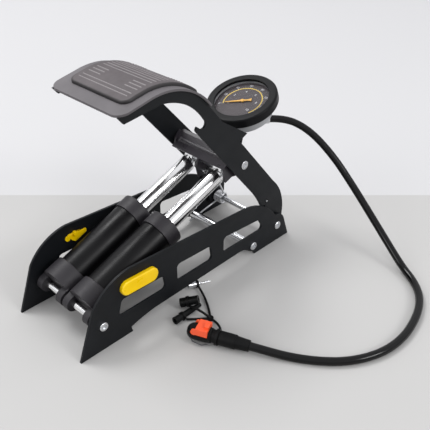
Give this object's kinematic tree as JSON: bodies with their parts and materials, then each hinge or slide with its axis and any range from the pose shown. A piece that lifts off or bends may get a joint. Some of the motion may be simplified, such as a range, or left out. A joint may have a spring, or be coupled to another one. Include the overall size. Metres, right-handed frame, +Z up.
{
  "type": "foot air pump",
  "caption": "Twin-cylinder foot pump with a sprung pedal, a gauge on top, and a hose with a clip-on valve head.",
  "frame": {"origin": "on the floor under the middle of the pump, its hose and valve head left out", "axes": "+X from the toe end towards the lever's axle and the gauge, +Y to the left side, +Z up"},
  "size_m": [0.3369, 0.2974, 0.2283],
  "materials": {
    "black_paint": "satin black powder coat",
    "pedal_paint": "dark grey powder coat",
    "yoke_paint": "semi-gloss black paint",
    "barrel_paint": "satin black paint",
    "black_plastic": "matt black moulding",
    "spring_steel": "bright wire",
    "zinc_steel": "zinc plated",
    "chromed_steel": "polished",
    "nickel_metal": "nickel plated",
    "yellow_plastic": "yellow moulding",
    "orange_plastic": "orange moulding",
    "nylon": "dark nylon",
    "seal_rubber": "soft black rubber",
    "pad_rubber": "ribbed dark rubber",
    "boot_rubber": "matt black rubber",
    "hose_rubber": "smooth black rubber",
    "grey_plastic": "grey moulding",
    "dial_print": "dark printed dial",
    "clear_lens": "clear lens",
    "needle_paint": "yellow-orange paint",
    "brass": "plain brass"
  },
  "bodies": {
    "base": {"right_side_plate": "black_paint", "left_side_plate": "black_paint", "front_pivot_rod": "chromed_steel", "rear_axle": "zinc_steel", "rear_tie_rod": "zinc_steel", "tie_rod_sleeves": "zinc_steel", "base_screws": "zinc_steel", "right_return_spring": "spring_steel", "left_return_spring": "spring_steel", "hose": "hose_rubber", "valve_sleeve": "hose_rubber", "valve_head": "black_plastic", "valve_gasket": "seal_rubber", "valve_pin": "zinc_steel", "wire_clip": "zinc_steel", "adapter_strap": "hose_rubber", "needle_adapter": "nickel_metal", "cone_adapter": "black_plastic", "long_adapter": "black_plastic"},
    "lever": {"right_lever_arm": "black_paint", "left_lever_arm": "black_paint", "pedal_plate": "pedal_paint", "pedal_pad": "pad_rubber", "yoke_pivot_screws": "zinc_steel", "axle_bushes": "nylon", "riser_pipe": "brass", "swivel_union": "zinc_steel", "gauge_bracket": "black_paint", "gauge_boot": "boot_rubber", "gauge_case": "grey_plastic", "gauge_dial": "dial_print", "gauge_lens": "clear_lens", "gauge_socket": "brass", "bourdon_tube": "brass", "gauge_movement": "brass", "outlet_barb": "brass", "hose_ferrule": "zinc_steel"},
    "pointer": {"gauge_needle": "needle_paint"},
    "right_pump": {"right_bottom_cap": "black_plastic", "right_barrel": "barrel_paint", "right_top_collar": "black_plastic", "right_guide_bush": "nylon"},
    "left_pump": {"left_bottom_cap": "black_plastic", "left_barrel": "barrel_paint", "left_top_collar": "black_plastic", "left_guide_bush": "nylon"},
    "ram": {"yoke": "yoke_paint", "rod_end_pin": "zinc_steel", "air_union": "zinc_steel", "right_piston_rod": "chromed_steel", "left_piston_rod": "chromed_steel", "right_piston": "nylon", "left_piston": "nylon", "right_piston_cup": "seal_rubber", "left_piston_cup": "seal_rubber", "right_check_valve": "seal_rubber", "left_check_valve": "seal_rubber"},
    "thumb_lever": {"valve_lever": "orange_plastic"},
    "right_latch": {"right_catch": "yellow_plastic"},
    "left_latch": {"left_catch": "yellow_plastic"}
  },
  "joints": [
    {"name": "lever_press", "type": "hinge", "parent": "base", "child": "lever", "pos_m": [0.1193, 0, 0.0209], "axis": [0, -1, 0], "range_deg": [0, 43], "stiffness_Nm_per_rad": 4, "springref_deg": -40.11, "deforming": ["right_return_spring", "left_return_spring", "hose"]},
    {"name": "right_pump_tilt", "type": "hinge", "parent": "base", "child": "right_pump", "pos_m": [-0.1226, 0, 0.0273], "axis": [0, -1, 0], "range_deg": [-12.84, 0]},
    {"name": "left_pump_tilt", "type": "hinge", "parent": "base", "child": "left_pump", "pos_m": [-0.1226, 0, 0.0273], "axis": [0, -1, 0], "range_deg": [-12.84, 0]},
    {"name": "ram_stroke", "type": "slide", "parent": "right_pump", "child": "ram", "axis": [0.9311, 0, 0.3649], "range_m": [-0.0708, 0]},
    {"name": "pointer_turn", "type": "hinge", "parent": "lever", "child": "pointer", "pos_m": [0.113, 0, 0.156], "axis": [0.342, 0, -0.9397], "range_deg": [0, 244], "stiffness_Nm_per_rad": 0.0005, "springref_deg": -17.19},
    {"name": "thumb_lever_flip", "type": "hinge", "parent": "base", "child": "thumb_lever", "pos_m": [-0.05556, -0.10043, 0.01449], "axis": [-0.9121, -0.41, 0], "range_deg": [0, 88]},
    {"name": "right_latch_slide", "type": "slide", "parent": "base", "child": "right_latch", "axis": [1, 0, 0], "range_m": [0, 0.009]},
    {"name": "left_latch_slide", "type": "slide", "parent": "base", "child": "left_latch", "axis": [1, 0, 0], "range_m": [0, 0.009]}
  ],
  "couplings": [
    {"joint": "right_pump_tilt", "follows": "lever_press", "ratio": -0.29845},
    {"joint": "left_pump_tilt", "follows": "lever_press", "ratio": -0.29845},
    {"joint": "ram_stroke", "follows": "lever_press", "m_per_rad": -0.09427}
  ]
}
